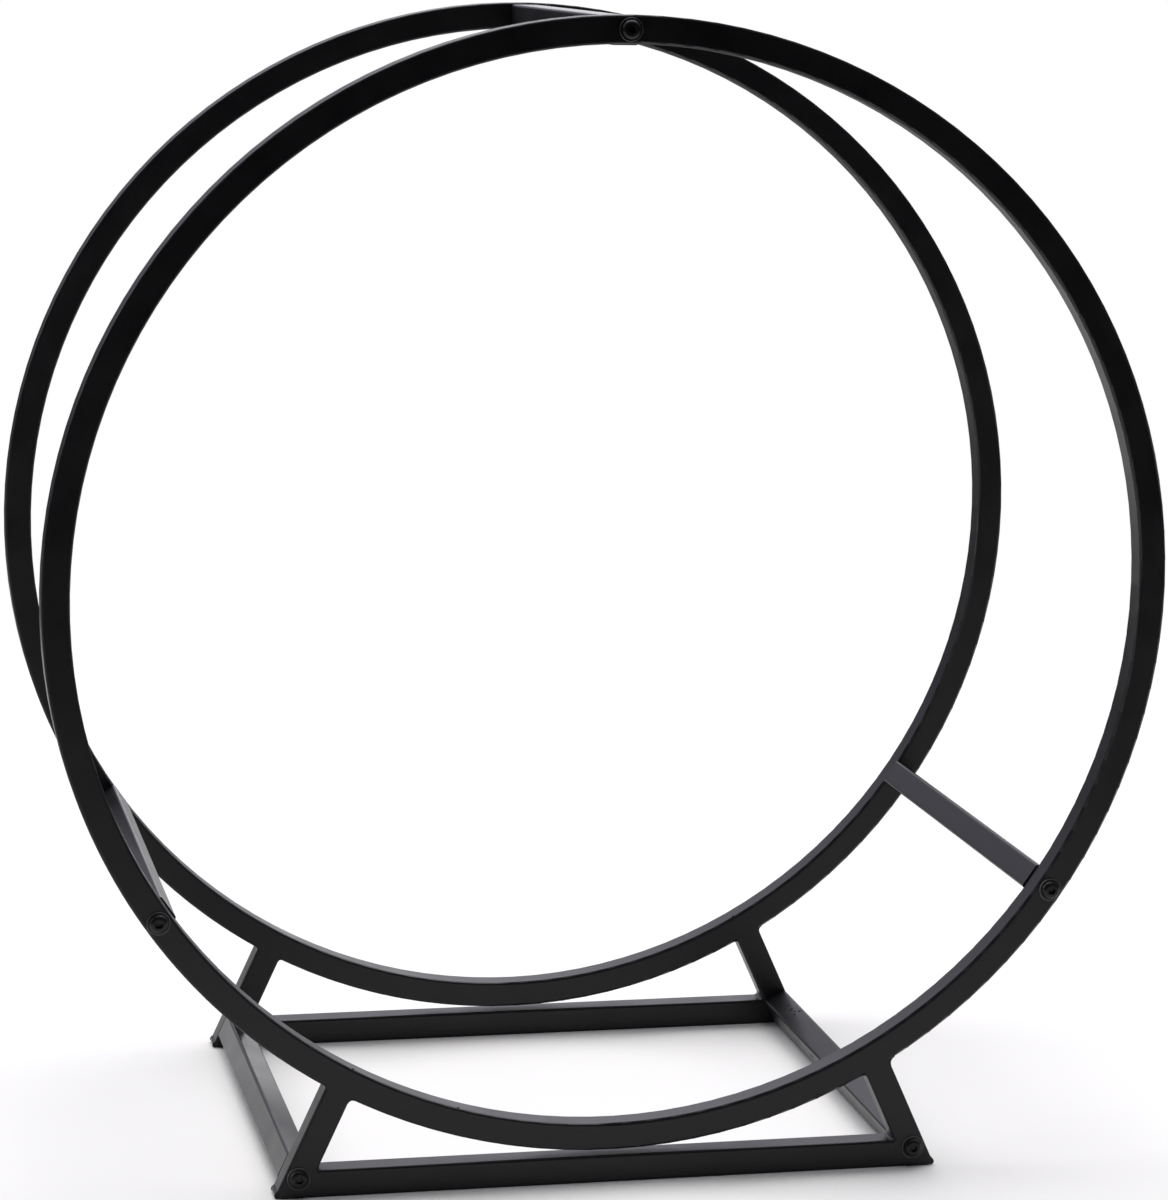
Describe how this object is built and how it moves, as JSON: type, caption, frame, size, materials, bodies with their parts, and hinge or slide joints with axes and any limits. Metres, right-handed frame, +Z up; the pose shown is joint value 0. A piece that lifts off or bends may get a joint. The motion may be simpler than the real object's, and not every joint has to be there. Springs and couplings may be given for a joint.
{
  "type": "firewood log rack",
  "caption": "Round firewood rack in square steel tube: two ring frames on low splayed-leg bases, held apart by straight tubes and button-head screws.",
  "frame": {"origin": "on the floor under the middle of the rack", "axes": "+Z up, +Y from the front frame to the back frame, +X to the right seen from the front"},
  "size_m": [0.61, 0.3066, 0.628],
  "materials": {
    "frame_coat": "satin-matt black powder coat on welded steel tube",
    "bar_coat": "satin-matt black powder coat on steel tube",
    "screw_steel": "black oxide on steel, slightly oiled",
    "insert_steel": "plain zinc-plated steel, threaded"
  },
  "bodies": {
    "root": {"front_ring": "frame_coat", "front_base_rail": "frame_coat", "front_left_leg": "frame_coat", "front_right_leg": "frame_coat", "back_ring": "frame_coat", "back_base_rail": "frame_coat", "back_left_leg": "frame_coat", "back_right_leg": "frame_coat", "top_bar": "bar_coat", "top_bar_front_insert": "insert_steel", "top_bar_front_screw": "screw_steel", "top_bar_back_insert": "insert_steel", "top_bar_back_screw": "screw_steel", "left_bar": "bar_coat", "left_bar_front_insert": "insert_steel", "left_bar_front_screw": "screw_steel", "left_bar_back_insert": "insert_steel", "left_bar_back_screw": "screw_steel", "right_bar": "bar_coat", "right_bar_front_insert": "insert_steel", "right_bar_front_screw": "screw_steel", "right_bar_back_insert": "insert_steel", "right_bar_back_screw": "screw_steel", "base_left_bar": "bar_coat", "base_left_bar_front_insert": "insert_steel", "base_left_bar_front_screw": "screw_steel", "base_left_bar_back_insert": "insert_steel", "base_left_bar_back_screw": "screw_steel", "base_right_bar": "bar_coat", "base_right_bar_front_insert": "insert_steel", "base_right_bar_front_screw": "screw_steel", "base_right_bar_back_insert": "insert_steel", "base_right_bar_back_screw": "screw_steel"}
  },
  "joints": []
}
